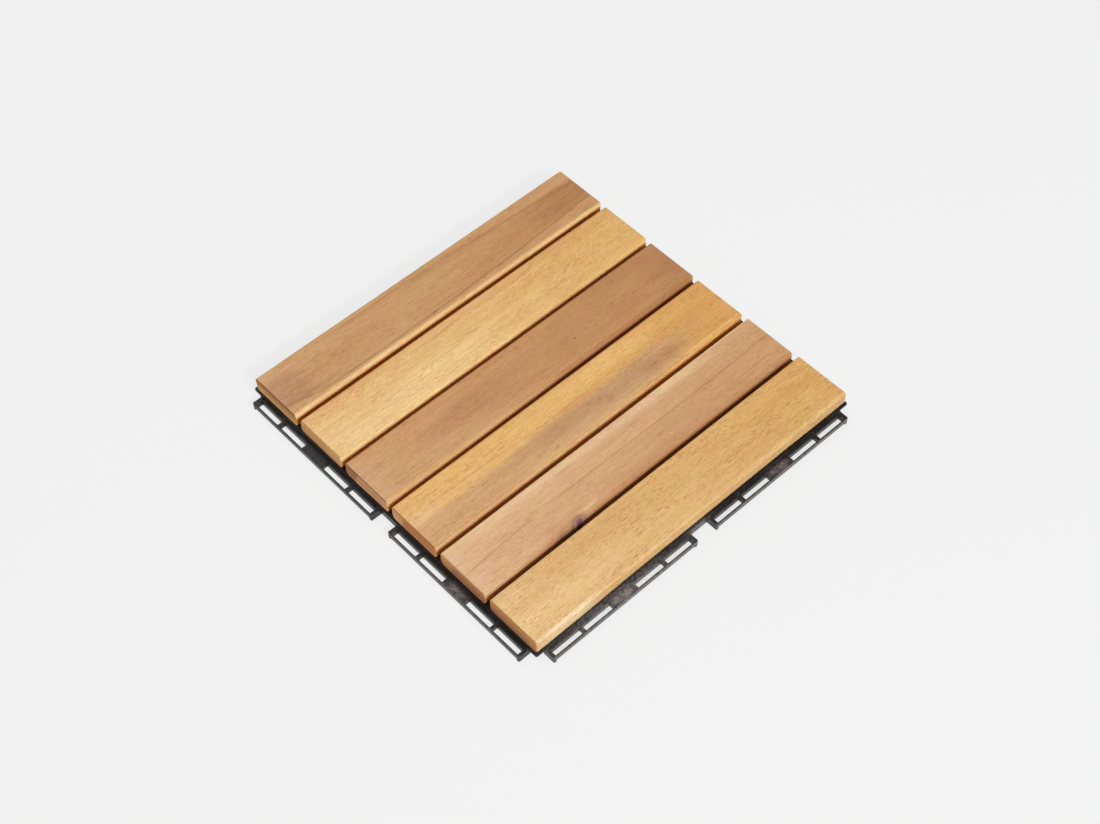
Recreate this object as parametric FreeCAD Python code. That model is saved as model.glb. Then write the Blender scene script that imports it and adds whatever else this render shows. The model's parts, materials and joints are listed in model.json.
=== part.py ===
import FreeCAD, Part
import math
import os
from FreeCAD import Vector

# Interlocking deck tile: timber slats screwed from below to one moulded lattice base.
# Millimetres, +Z up. The origin is on the ground under the middle of the tile's module.
# The slats run along X and are numbered from the +Y side. Two loop flanges stand out on
# the -X and -Y sides. Split pegs hang under the +X and +Y edges and drop into the loops
# of the next tile, one module away.

# Module and slats
MODULE = 300.0  # pitch of laid tiles, the same along X and Y
SLAT_COUNT = 6
SLAT_GAP = 4.0  # drain gap between slats, also from tile to tile
SLAT_LENGTH = 295.0
SLAT_THICKNESS = 12.0
SLAT_TOP_RADIUS = 2.2  # long upper edges
SLAT_LOW_RADIUS = 3.5  # long lower edges
SLAT_END_BEVEL = 0.5  # across the top of each sawn end

# Base: levels and walls
BASE_HEIGHT = 8.0
LIP_THICKNESS = 1.6  # flat border that carries the slat ends
LIP_SETBACK = 0.7  # from the module line to the edge of the lip
LIP_CORNER_RADIUS = 1.5
RIB_WIDTH = 2.0
RIB_DEPTH = 3.6
CELL_PITCH = 25.0  # from cross rib to cross rib, along X
SKIRT_LIFT = 2.4  # from the ground to the lower edge of the skirt wall
SKIRT_CLEARANCE = 4.1  # from the skirt to the next tile's flange

# Feet under the lattice
FOOT_RADIUS = 12.4
FOOT_WALL = 1.8
FOOT_SIDES = 12  # the repeated rings are many-sided, to keep them light
FOOT_CELLS = 2  # cross ribs from foot to foot, along X
FEET_EACH_SIDE = 2  # feet on each side of the middle one, along X

# Loop flange
LOOP_SPAN = 132.4  # length of one flange section
SLOT_LENGTH = 25.2
SLOT_WIDTH = 4.7
LOOP_RIB = 2.2  # between two slots
LOOP_POST = 2.4  # at each end of a section, down to the ground
LOOP_BAR = 1.2  # outer bar
LOOP_LEDGE = 2.2  # from the lip's edge to the slots
LOOP_LIFT = 2.0  # from the ground to the lower edge of bar and ribs
LOOP_CORNER_RADIUS = 1.0
PAD_SKIN = 1.6  # walls of the hollow pad between the slots
GUSSET_MARGIN = 0.3  # from a gusset to the next tile's lip

# Pegs
SEAT_CLEARANCE = 0.2  # from the flange's top to the lip that lies over it
PEG_CLEARANCE = 0.25  # each side, across the slot
PEG_END_CLEARANCE = 0.3  # each end, along the slot
PEG_LEAF = 1.5  # each of the two leaves of a split peg
PEG_TIP_LIFT = 0.8
PEG_LEAD = 0.6  # height of the slant at the tip of the plain leaf
PEG_BEAD = 0.5  # snap bead that clips under the bar
PEG_BEAD_HEIGHT = 0.9

# Screws, four to a slat
SCREW_CELLS = (-5, -2, 2, 5)  # cross ribs that carry the bosses, counted from the middle
SMALL_SIDES = 8  # sides of the repeated small rounds: screws, bosses and their holes
BOSS_RADIUS = 5.5
BOSS_DEPTH = 4.6
BOSS_FLOOR = 2.0  # plastic between the screw head and the slat
HEAD_RADIUS = 3.4
HEAD_HEIGHT = 1.9
HEAD_EDGE = 0.7  # height of the head's straight rim
HEAD_CLEARANCE = 0.5
HEAD_TOP_SHARE = 0.55  # flat of the domed head, as a share of its radius
SHANK_RADIUS = 1.75
SHANK_CLEARANCE = 0.25  # in the boss
PILOT_CLEARANCE = 0.05  # in the slat
PILOT_COVER = 2.0  # timber left over the end of the pilot hole
SCREW_END_ROOM = 0.8  # from the screw's tip to the end of the pilot hole
SCREW_TIP = 3.0  # length of the point
SCREW_TIP_SHARE = 0.15  # blunt end of the point, as a share of the shank

# Worked out from the sizes above
HALF = MODULE / 2
SLAT_PITCH = MODULE / SLAT_COUNT
SLAT_WIDTH = SLAT_PITCH - SLAT_GAP
LIP_OUT = HALF - LIP_SETBACK
LIP_LOW = BASE_HEIGHT - LIP_THICKNESS
RIB_LOW = BASE_HEIGHT - RIB_DEPTH
LOOP_TOP = LIP_LOW - SEAT_CLEARANCE
SLOT_IN = LIP_OUT + LOOP_LEDGE
SLOT_OUT = SLOT_IN + SLOT_WIDTH
LOOP_OUT = SLOT_OUT + LOOP_BAR
SKIRT_OUT = MODULE - LOOP_OUT - SKIRT_CLEARANCE
SKIRT_IN = SKIRT_OUT - RIB_WIDTH
PAD_LENGTH = LOOP_SPAN - 4 * SLOT_LENGTH - 2 * LOOP_RIB - 2 * LOOP_POST
SLOT_NEAR = PAD_LENGTH / 2  # from a section's middle to its inner slots
SLOT_FAR = SLOT_NEAR + SLOT_LENGTH + LOOP_RIB  # and to its outer slots
SECTION_CENTRES = (-HALF / 2, HALF / 2)
SECTION_END = HALF / 2 + LOOP_SPAN / 2
SLAT_CENTRES = [HALF - SLAT_PITCH * (i + 0.5) for i in range(SLAT_COUNT)]
SCREW_PLACES = [(cell * CELL_PITCH, y) for y in SLAT_CENTRES for cell in SCREW_CELLS]
HEAD_SEAT = BASE_HEIGHT - BOSS_FLOOR
PILOT_END = BASE_HEIGHT + SLAT_THICKNESS - PILOT_COVER


def block(x0, x1, y0, y1, z0, z1):
    """Box between two corners."""
    return Part.makeBox(x1 - x0, y1 - y0, z1 - z0, Vector(x0, y0, z0))


def turned(outline, sides, x=0.0, y=0.0):
    """Solid with flat sides round an upright axis, from (radius, height) points."""
    turns = [2 * math.pi * (i + 0.5) / sides for i in range(sides)]
    rings = [
        [Vector(x + radius * math.cos(turn), y + radius * math.sin(turn), z) for turn in turns]
        for radius, z in outline
    ]
    loops = [
        (low[i - 1], low[i], high[i], high[i - 1])
        for low, high in zip(rings, rings[1:])
        for i in range(sides)
    ]
    loops += [tuple(rings[0]), tuple(rings[-1])]
    faces = [Part.Face(Part.makePolygon(loop + loop[:1])) for loop in loops]
    return Part.makeSolid(Part.makeShell(faces))


def upright(radius, sides, z0, z1, x=0.0, y=0.0):
    """Upright column with flat sides from z0 to z1."""
    return turned(((radius, z0), (radius, z1)), sides, x, y)


def prism(points, length, y):
    """Closed outline of (x, z) points, extruded along Y by a length, with its middle at y."""
    corners = [Vector(x, y - length / 2, z) for x, z in points]
    face = Part.Face(Part.makePolygon(corners + corners[:1]))
    return face.extrude(Vector(0, length, 0))


def quarter_turned(shape):
    """Copy of a shape of the X sides, turned a quarter round Z to the Y sides."""
    copy = shape.copy()
    copy.rotate(Vector(0, 0, 0), Vector(0, 0, 1), 90)
    return copy


def fused(shapes):
    """One solid from solids that meet."""
    return shapes[0].multiFuse(shapes[1:]).removeSplitter()


def slot_middles():
    """Middles of all loop slots along one side."""
    steps = (SLOT_NEAR + SLOT_LENGTH / 2, SLOT_FAR + SLOT_LENGTH / 2)
    offsets = [side * step for step in steps for side in (-1, 1)]
    return sorted(centre + offset for centre in SECTION_CENTRES for offset in offsets)


def slat_section(width, height, low_radius, top_radius):
    """Section of a slat in the YZ plane: round lower and upper corners."""
    half = width / 2
    corners = (
        (half, 0.0, low_radius, -45),
        (half, height, top_radius, 45),
        (-half, height, top_radius, 135),
        (-half, 0.0, low_radius, 225),
    )
    arcs = []
    for y, z, radius, middle in corners:
        centre = Vector(0, y - radius * (1 if y > 0 else -1), z + radius * (1 if z == 0 else -1))
        ends = []
        for angle in (middle - 45, middle, middle + 45):
            spoke = Vector(0, radius, 0)
            turn = FreeCAD.Rotation(Vector(1, 0, 0), angle)
            ends.append(centre + turn.multVec(spoke))
        arcs.append(Part.Arc(*ends))
    edges = []
    for arc, following in zip(arcs, arcs[1:] + arcs[:1]):
        edges.append(arc.toShape())
        edges.append(Part.LineSegment(arc.EndPoint, following.StartPoint).toShape())
    return Part.Face(Part.Wire(edges))


def slat(y_centre):
    """One timber slat with bevelled ends and blind pilot holes from below."""
    half = SLAT_LENGTH / 2
    top = BASE_HEIGHT + SLAT_THICKNESS
    section = slat_section(SLAT_WIDTH, SLAT_THICKNESS, SLAT_LOW_RADIUS, SLAT_TOP_RADIUS)
    section.translate(Vector(-half, y_centre, BASE_HEIGHT))
    side_view = (
        (-half, BASE_HEIGHT),
        (half, BASE_HEIGHT),
        (half, top - SLAT_END_BEVEL),
        (half - SLAT_END_BEVEL, top),
        (-half + SLAT_END_BEVEL, top),
        (-half, top - SLAT_END_BEVEL),
    )
    body = section.extrude(Vector(SLAT_LENGTH, 0, 0)).common(prism(side_view, SLAT_WIDTH, y_centre))
    holes = [
        upright(SHANK_RADIUS + PILOT_CLEARANCE, SMALL_SIDES, BASE_HEIGHT, PILOT_END, x, y)
        for x, y in SCREW_PLACES if y == y_centre
    ]
    return body.cut(Part.makeCompound(holes))


def border():
    """Flat lip round the base with the skirt wall inside it."""
    plate = block(-LIP_OUT, LIP_OUT, -LIP_OUT, LIP_OUT, LIP_LOW, BASE_HEIGHT)
    corners = [edge for edge in plate.Edges if edge.BoundBox.ZLength > LIP_THICKNESS / 2]
    plate = plate.makeFillet(LIP_CORNER_RADIUS, corners)
    skirt = block(-SKIRT_OUT, SKIRT_OUT, -SKIRT_OUT, SKIRT_OUT, SKIRT_LIFT, BASE_HEIGHT)
    window = block(-SKIRT_IN, SKIRT_IN, -SKIRT_IN, SKIRT_IN, 0, BASE_HEIGHT)
    return plate.fuse(skirt).cut(window)


def lattice():
    """Cross ribs along Y and two long ribs under each slat, along X."""
    ribs = []
    reach = (SKIRT_IN + SKIRT_OUT) / 2
    half = RIB_WIDTH / 2
    count = int((SKIRT_IN - RIB_WIDTH) // CELL_PITCH)
    for x in [CELL_PITCH * i for i in range(-count, count + 1)]:
        ribs.append(block(x - half, x + half, -reach, reach, RIB_LOW, BASE_HEIGHT))
    for y in [centre + side * SLAT_PITCH / 4 for centre in SLAT_CENTRES for side in (-1, 1)]:
        if abs(y) < SKIRT_IN - RIB_WIDTH:
            ribs.append(block(-reach, reach, y - half, y + half, RIB_LOW, BASE_HEIGHT))
    return ribs


def foot(x, y):
    """Ring foot with a rib across it."""
    half = RIB_WIDTH / 2
    reach = FOOT_RADIUS - FOOT_WALL
    ring = upright(FOOT_RADIUS, FOOT_SIDES, 0, RIB_LOW)
    ring = ring.cut(upright(FOOT_RADIUS - FOOT_WALL, FOOT_SIDES, 0, RIB_LOW))
    piece = ring.fuse(block(-half, half, -reach, reach, 0, RIB_LOW))
    piece.translate(Vector(x, y, 0))
    return piece


def feet():
    """Feet on the cross ribs, under the gaps between the slats."""
    columns = range(-FEET_EACH_SIDE, FEET_EACH_SIDE + 1)
    rows = [y - SLAT_PITCH / 2 for y in SLAT_CENTRES[:-1]]
    return [foot(column * FOOT_CELLS * CELL_PITCH, y) for column in columns for y in rows]


def flange():
    """Both loop sections of the -X side with their wall, posts and gussets."""
    pieces = []
    wall_in = LIP_OUT - RIB_WIDTH
    pieces.append(block(-LIP_OUT, -wall_in, -SECTION_END, SECTION_END, SKIRT_LIFT, BASE_HEIGHT))
    for centre in SECTION_CENTRES:
        low = centre - LOOP_SPAN / 2
        high = centre + LOOP_SPAN / 2
        body = block(-LOOP_OUT, -wall_in, low, high, LOOP_LIFT, LOOP_TOP)
        posts = [
            block(-LOOP_OUT, -wall_in, low, low + LOOP_POST, 0, LOOP_TOP),
            block(-LOOP_OUT, -wall_in, high - LOOP_POST, high, 0, LOOP_TOP),
        ]
        body = fused([body] + posts)
        rounded = [
            edge for edge in body.Edges
            if edge.BoundBox.XMax < -SLOT_OUT and edge.BoundBox.ZLength > LOOP_TOP / 2
        ]
        body = body.makeFillet(LOOP_CORNER_RADIUS, rounded)
        pocket = block(
            -LOOP_OUT + PAD_SKIN, -wall_in,
            centre - SLOT_NEAR + PAD_SKIN, centre + SLOT_NEAR - PAD_SKIN,
            0, LOOP_TOP - PAD_SKIN,
        )
        pieces.append(body.cut(pocket))
    slots = [
        block(-SLOT_OUT, -SLOT_IN, y - SLOT_LENGTH / 2, y + SLOT_LENGTH / 2, 0, LOOP_TOP)
        for y in slot_middles()
    ]
    return fused(pieces).cut(Part.makeCompound(slots)), gussets()


def gussets():
    """Small webs from the lip's edge down to each rib and post of the -X flange."""
    reach = 2 * LIP_SETBACK - GUSSET_MARGIN
    outline = (
        (-LIP_OUT + RIB_WIDTH / 2, LOOP_TOP - RIB_WIDTH / 2),
        (-LIP_OUT - reach, LOOP_TOP - RIB_WIDTH / 2),
        (-LIP_OUT - reach, LOOP_TOP),
        (-LIP_OUT, BASE_HEIGHT),
        (-LIP_OUT + RIB_WIDTH / 2, BASE_HEIGHT),
    )
    webs = []
    for centre in SECTION_CENTRES:
        for side in (-1, 1):
            rib = centre + side * (SLOT_FAR - LOOP_RIB / 2)
            post = centre + side * (LOOP_SPAN - LOOP_POST) / 2
            webs.append(prism(outline, LOOP_RIB, rib))
            webs.append(prism(outline, LOOP_POST, post))
    return webs


def pegs():
    """Split pegs under the +X edge, each over one slot of the next tile."""
    inner = MODULE - SLOT_OUT + PEG_CLEARANCE
    outer = MODULE - SLOT_IN - PEG_CLEARANCE
    root = LIP_LOW + LIP_THICKNESS / 2
    tip = PEG_TIP_LIFT
    shoulder = tip + PEG_BEAD_HEIGHT
    bead_side = (
        (inner, root),
        (inner, shoulder + PEG_CLEARANCE),
        (inner - PEG_BEAD, shoulder),
        (inner, tip),
        (inner + PEG_LEAF, tip),
        (inner + PEG_LEAF, root),
    )
    plain_side = (
        (outer, root),
        (outer, tip + PEG_LEAD),
        (outer - PEG_LEAF / 2, tip),
        (outer - PEG_LEAF, tip),
        (outer - PEG_LEAF, root),
    )
    length = SLOT_LENGTH - 2 * PEG_END_CLEARANCE
    return [prism(side, length, y) for side in (bead_side, plain_side) for y in slot_middles()]


def moulded_base():
    """The whole base as one moulding."""
    flange_body, webs = flange()
    sides = [flange_body] + webs + pegs()
    parts = [border()] + lattice() + feet() + sides + [quarter_turned(side) for side in sides]
    boss_low = BASE_HEIGHT - BOSS_DEPTH
    parts += [upright(BOSS_RADIUS, SMALL_SIDES, boss_low, BASE_HEIGHT, x, y) for x, y in SCREW_PLACES]
    body = fused(parts)
    holes = []
    for x, y in SCREW_PLACES:
        holes.append(upright(SHANK_RADIUS + SHANK_CLEARANCE, SMALL_SIDES, 0, BASE_HEIGHT, x, y))
        holes.append(upright(HEAD_RADIUS + HEAD_CLEARANCE, SMALL_SIDES, 0, HEAD_SEAT, x, y))
    return body.cut(Part.makeCompound(holes))


def screw(x, y):
    """Pan head screw from below: head under its seat, shank and point in the slat."""
    tip = PILOT_END - SCREW_END_ROOM
    outline = (
        (HEAD_RADIUS * HEAD_TOP_SHARE, HEAD_SEAT - HEAD_HEIGHT),
        (HEAD_RADIUS, HEAD_SEAT - HEAD_EDGE),
        (HEAD_RADIUS, HEAD_SEAT),
        (SHANK_RADIUS, HEAD_SEAT),
        (SHANK_RADIUS, tip - SCREW_TIP),
        (SHANK_RADIUS * SCREW_TIP_SHARE, tip),
    )
    return turned(outline, SMALL_SIDES, x, y)


def write(name, shape):
    """Check a node and write it."""
    if not shape.isValid():
        raise ValueError(name + " is not a valid shape")
    shape.exportStep("parts/" + name + ".step")


def main():
    """Build and write every node."""
    os.makedirs("parts", exist_ok=True)
    write("moulded_base", moulded_base())
    for number, y_centre in enumerate(SLAT_CENTRES, start=1):
        write("slat_" + str(number), slat(y_centre))
    write("slat_screws", Part.makeCompound([screw(x, y) for x, y in SCREW_PLACES]))


main()
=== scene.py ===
"""Look of an interlocking deck tile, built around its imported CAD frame.

Six timber slats lie on one black moulded lattice. The slats and the screws are new
surfaces, the lattice is a softened copy of its CAD node, and every finish is procedural.
Lengths are in millimetres until they are written into a mesh, which is in metres.
Along a slat is u (the tile's X), across it is v (the tile's Y from the slat's middle)
and w is the depth (the tile's Z from the walking face, so it is negative in the timber).
A Span holds two such places, or a low and a high value.
"""

from __future__ import annotations

import json
import logging
import math
from dataclasses import dataclass, field
from enum import Enum
from typing import Sequence, Union

import bmesh
import bpy
import numpy as np
from mathutils import Matrix, Vector

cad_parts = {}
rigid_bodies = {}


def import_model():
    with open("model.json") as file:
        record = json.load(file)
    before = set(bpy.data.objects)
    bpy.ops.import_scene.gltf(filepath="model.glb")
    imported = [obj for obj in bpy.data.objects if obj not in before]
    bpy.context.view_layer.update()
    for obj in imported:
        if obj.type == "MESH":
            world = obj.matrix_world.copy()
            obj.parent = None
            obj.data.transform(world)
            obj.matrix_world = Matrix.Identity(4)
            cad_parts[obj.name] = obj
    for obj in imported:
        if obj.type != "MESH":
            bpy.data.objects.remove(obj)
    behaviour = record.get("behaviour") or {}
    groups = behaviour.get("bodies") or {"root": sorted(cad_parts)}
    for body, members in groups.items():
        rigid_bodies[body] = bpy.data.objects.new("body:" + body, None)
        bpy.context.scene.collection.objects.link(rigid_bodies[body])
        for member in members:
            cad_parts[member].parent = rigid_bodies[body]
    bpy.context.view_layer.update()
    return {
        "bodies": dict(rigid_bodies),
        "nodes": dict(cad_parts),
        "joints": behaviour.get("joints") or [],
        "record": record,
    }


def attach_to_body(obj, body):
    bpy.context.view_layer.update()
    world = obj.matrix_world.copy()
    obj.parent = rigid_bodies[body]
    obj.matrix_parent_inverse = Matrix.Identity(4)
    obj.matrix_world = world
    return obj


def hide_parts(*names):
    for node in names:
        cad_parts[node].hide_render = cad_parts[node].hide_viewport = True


LOG = logging.getLogger("deck_tile")
MM = 0.001
Colour = tuple[float, float, float]
Span = tuple[float, float]
Socket = bpy.types.NodeSocket
Value = Union[Socket, float]


class Blend(Enum):
    """How a finish lays one colour over another."""

    MIX = "MIX"
    MULTIPLY = "MULTIPLY"


class End(Enum):
    """The two ends of a slat, by the sign of X."""

    NEAR = -1
    FAR = 1


def srgb(red: float, green: float, blue: float) -> Colour:
    """Linear colour from display values.

    Args:
        red: the red value, between 0 and 255.
        green: the green value.
        blue: the blue value.

    Returns:
        The linear colour.
    """
    shares = np.array([red, green, blue]) / 255.0
    linear = np.where(shares <= 0.04045, shares / 12.92, ((shares + 0.055) / 1.055) ** 2.4)
    return tuple(float(v) for v in linear)


# Node trees


class Graph:
    """Short way to write maths, textures and shaders into one node tree."""

    def __init__(self, tree: bpy.types.NodeTree) -> None:
        """Keeps the node tree that new nodes go into."""
        self.tree = tree

    def feed(self, socket: Socket, value: Value | Sequence[float]) -> None:
        """Links a value to an input, or sets the input's own value.

        Args:
            socket: the input.
            value: a socket, a number, or the parts of a vector or colour.
        """
        if isinstance(value, bpy.types.NodeSocket):
            self.tree.links.new(value, socket)
        elif socket.type == "RGBA" and len(value) == 3:
            socket.default_value = (*value, 1.0)
        else:
            socket.default_value = value

    def add(self, kind: str, inputs: dict | None = None, **settings: object) -> bpy.types.Node:
        """Adds a node.

        Args:
            kind: the node's type name.
            inputs: values or sockets by input name or number.
            **settings: properties of the node.

        Returns:
            The new node.
        """
        node = self.tree.nodes.new(kind)
        for name, value in settings.items():
            setattr(node, name, value)
        for key, value in (inputs or {}).items():
            self.feed(node.inputs[key], value)
        return node

    def group(self, tree: bpy.types.NodeTree, inputs: dict) -> bpy.types.NodeOutputs:
        """Outputs of a shared group, given its inputs by name."""
        return self.add("ShaderNodeGroup", inputs, node_tree=tree).outputs

    def place(self) -> Socket:
        """Place on the object, in metres."""
        return self.add("ShaderNodeTexCoord").outputs["Object"]

    def axes(self, place: Socket) -> bpy.types.NodeOutputs:
        """The three parts of a place."""
        return self.add("ShaderNodeSeparateXYZ", {0: place}).outputs

    def point(self, x: Value, y: Value, z: Value) -> Socket:
        """Vector from three values."""
        return self.add("ShaderNodeCombineXYZ", {0: x, 1: y, 2: z}).outputs[0]

    def math(self, operation: str, *values: Value) -> Socket:
        """One arithmetic step on one, two or three values."""
        return self.add("ShaderNodeMath", dict(enumerate(values)), operation=operation).outputs[0]

    def times(self, first: Value, *others: Value) -> Socket:
        """Multiplies values.

        Args:
            first: the first value.
            *others: the other values.

        Returns:
            Their product.
        """
        for other in others:
            first = self.math("MULTIPLY", first, other)
        return first

    def plus(self, first: Value, *others: Value) -> Socket:
        """Adds values.

        Args:
            first: the first value.
            *others: the other values.

        Returns:
            Their sum.
        """
        for other in others:
            first = self.math("ADD", first, other)
        return first

    def scaled(self, value: Value, gain: Value, start: Value) -> Socket:
        """The value times a gain, plus a start."""
        return self.math("MULTIPLY_ADD", value, gain, start)

    def minus(self, value: Value, other: Value) -> Socket:
        """The value less another one."""
        return self.math("SUBTRACT", value, other)

    def ramp(
        self, value: Value, span: tuple[Value, Value], start: float = 0.0, stop: float = 1.0
    ) -> Socket:
        """Smooth step of a value.

        Args:
            value: the value.
            span: the values at which the step begins and ends.
            start: the result below the span.
            stop: the result above the span.

        Returns:
            The result, a number.
        """
        inputs = {"Value": value, "From Min": span[0], "From Max": span[1], "To Min": start, "To Max": stop}
        return self.add("ShaderNodeMapRange", inputs, interpolation_type="SMOOTHSTEP").outputs["Result"]

    def around(self, middle: Value, reach: Value) -> tuple[Socket, Socket]:
        """The span that goes a reach to both sides of a middle."""
        return self.minus(middle, reach), self.plus(middle, reach)

    def mix(
        self,
        factor: Value,
        under: Socket | Colour,
        over: Socket | Colour,
        blend: Blend = Blend.MIX,
    ) -> Socket:
        """Lays one colour over another.

        Args:
            factor: how much of the over colour shows.
            under: the colour below.
            over: the colour laid over it.
            blend: how it is laid.

        Returns:
            The mixed colour.
        """
        node = self.add("ShaderNodeMix", data_type="RGBA", blend_type=blend.value)
        for number, value in ((0, factor), (6, under), (7, over)):
            self.feed(node.inputs[number], value)
        return node.outputs[2]

    def tinted(self, colour: Socket, tint: Socket | Colour) -> Socket:
        """The colour multiplied by a tint."""
        return self.mix(1.0, colour, tint, Blend.MULTIPLY)

    def noise(
        self, place: Socket, detail: float = 2.0, roughness: float = 0.5, distortion: float = 0.0
    ) -> Socket:
        """Cloud noise.

        Args:
            place: the place, already scaled.
            detail: how many finer layers there are.
            roughness: how strong they are.
            distortion: how far the noise bends itself.

        Returns:
            The noise, between 0 and 1.
        """
        inputs = {"Vector": place, "Scale": 1.0, "Detail": detail}
        inputs |= {"Roughness": roughness, "Distortion": distortion}
        return self.add("ShaderNodeTexNoise", inputs).outputs["Fac"]

    def apart(self, x: Socket, y: Socket, middle: Span, reach: Span) -> Socket:
        """Squared distance a^2 + b^2 from a middle.

        Args:
            x: the first part of the place.
            y: the second part.
            middle: the place where the distance is 0.
            reach: what the two parts of the distance are divided by.

        Returns:
            The squared distance, in reaches.
        """
        a = self.scaled(x, 1 / reach[0], -middle[0] / reach[0])
        b = self.scaled(y, 1 / reach[1], -middle[1] / reach[1])
        return self.plus(self.times(a, a), self.times(b, b))

    def oval(self, x: Socket, y: Socket, middle: Span, reach: Span) -> Socket:
        """Soft oval exp(-a^2 - b^2), 1 in its middle, with apart's arguments."""
        return self.math("EXPONENT", self.times(self.apart(x, y, middle, reach), -1.0))

    def bump(self, strength: float, depth: float, height: Socket, **more: Socket) -> Socket:
        """Normal of a surface with fine relief.

        Args:
            strength: how much of the relief shows.
            depth: depth of the relief in millimetres.
            height: the relief, between 0 and 1.
            **more: other inputs, such as the Normal of a relief below this one.

        Returns:
            The normal.
        """
        inputs = {"Strength": strength, "Distance": depth * MM, "Height": height, **more}
        return self.add("ShaderNodeBump", inputs).outputs[0]

    def surface(self, inputs: dict) -> None:
        """Ends a material with one principled shader of these inputs."""
        shader = self.add("ShaderNodeBsdfPrincipled", inputs)
        self.add("ShaderNodeOutputMaterial", {"Surface": shader.outputs[0]})


def blank(owner: bpy.types.Material | bpy.types.World) -> Graph:
    """Empties the node tree of a material or world.

    Args:
        owner: the material or world.

    Returns:
        A graph on the empty tree.
    """
    owner.use_nodes = True
    owner.node_tree.nodes.clear()
    return Graph(owner.node_tree)


def shader_group(
    name: str, inputs: dict[str, float | Colour], outputs: Sequence[str]
) -> tuple[Graph, dict[str, Socket], bpy.types.NodeInputs]:
    """Starts a node group whose outputs are numbers.

    Args:
        name: the group's name.
        inputs: default of each input by name, with three parts where it is a vector.
        outputs: name of each output.

    Returns:
        A graph on the group, its given inputs by name, and the inputs of its end.
    """
    tree = bpy.data.node_groups.new(name, "ShaderNodeTree")
    for label, default in inputs.items():
        kind = "NodeSocketFloat" if isinstance(default, float) else "NodeSocketVector"
        tree.interface.new_socket(label, in_out="INPUT", socket_type=kind).default_value = default
    for label in outputs:
        tree.interface.new_socket(label, in_out="OUTPUT", socket_type="NodeSocketFloat")
    graph = Graph(tree)
    given = {socket.name: socket for socket in graph.add("NodeGroupInput").outputs if socket.name}
    return graph, given, graph.add("NodeGroupOutput").inputs


@dataclass(frozen=True)
class Streak:
    """A long soft band of another colour in a slat, in millimetres of u and v."""

    colour: Colour
    centre: float
    half_width: float
    strength: float = 1.0
    softness: float = 1.0
    start: float = -170.0
    end: float = 170.0
    fade: float = 18.0
    slope: float = 0.0
    bow: float = 0.0
    wander: float = 0.0
    feather: float = 1.5
    seed: float = 0.0

    WALK_RATE = 0.022
    SHAPE = ("centre", "half_width", "softness", "start", "end", "fade", "slope", "bow", "wander", "feather")

    @classmethod
    def group(cls) -> bpy.types.NodeTree:
        """Makes the group whose mask is such a band.

        The band's middle is centre + slope u' + bow u'^2 + wander n(u), with u' = u / 100 mm.
        The mask falls smoothly from 1 to 0 over the softness at its sides and over the fade
        at its start and end. Grain noise feathers its sides.

        Returns:
            The group's node tree.
        """
        names = ("u", "v", "grain", "seed", *cls.SHAPE)
        g, i, out = shader_group("soft_streak", dict.fromkeys(names, 0.0), ("Mask",))
        share = g.times(i["u"], 0.01)
        along = {"W": g.scaled(i["u"], cls.WALK_RATE, i["seed"]), "Scale": 1.0, "Detail": 2.0}
        walk = g.add("ShaderNodeTexNoise", along, noise_dimensions="1D").outputs["Fac"]
        middle = g.plus(
            g.scaled(share, i["slope"], i["centre"]),
            g.times(share, share, i["bow"]),
            g.times(g.minus(walk, 0.5), i["wander"]),
        )
        rough = g.times(g.minus(i["grain"], 0.5), i["feather"])
        off = g.math("ABSOLUTE", g.plus(g.minus(i["v"], middle), rough))
        body = g.ramp(off, g.around(i["half_width"], i["softness"]), 1.0, 0.0)
        begin = g.ramp(i["u"], g.around(i["start"], i["fade"]))
        finish = g.ramp(i["u"], g.around(i["end"], i["fade"]), 1.0, 0.0)
        g.feed(out["Mask"], g.times(body, begin, finish))
        return g.tree


@dataclass(frozen=True)
class Weave:
    """Noise drawn out along the grain, with so many waves to a millimetre along and across it."""

    along: float
    across: float
    detail: float = 2.0
    roughness: float = 0.5
    distortion: float = 0.0

    def noise(self, g: Graph, u: Socket, v: Socket, w: Socket) -> Socket:
        """The noise, between 0 and 1, at u, v and w in the timber."""
        place = g.point(g.times(u, self.along), g.times(v, self.across), g.times(w, self.across))
        return g.noise(place, self.detail, self.roughness, self.distortion)


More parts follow.
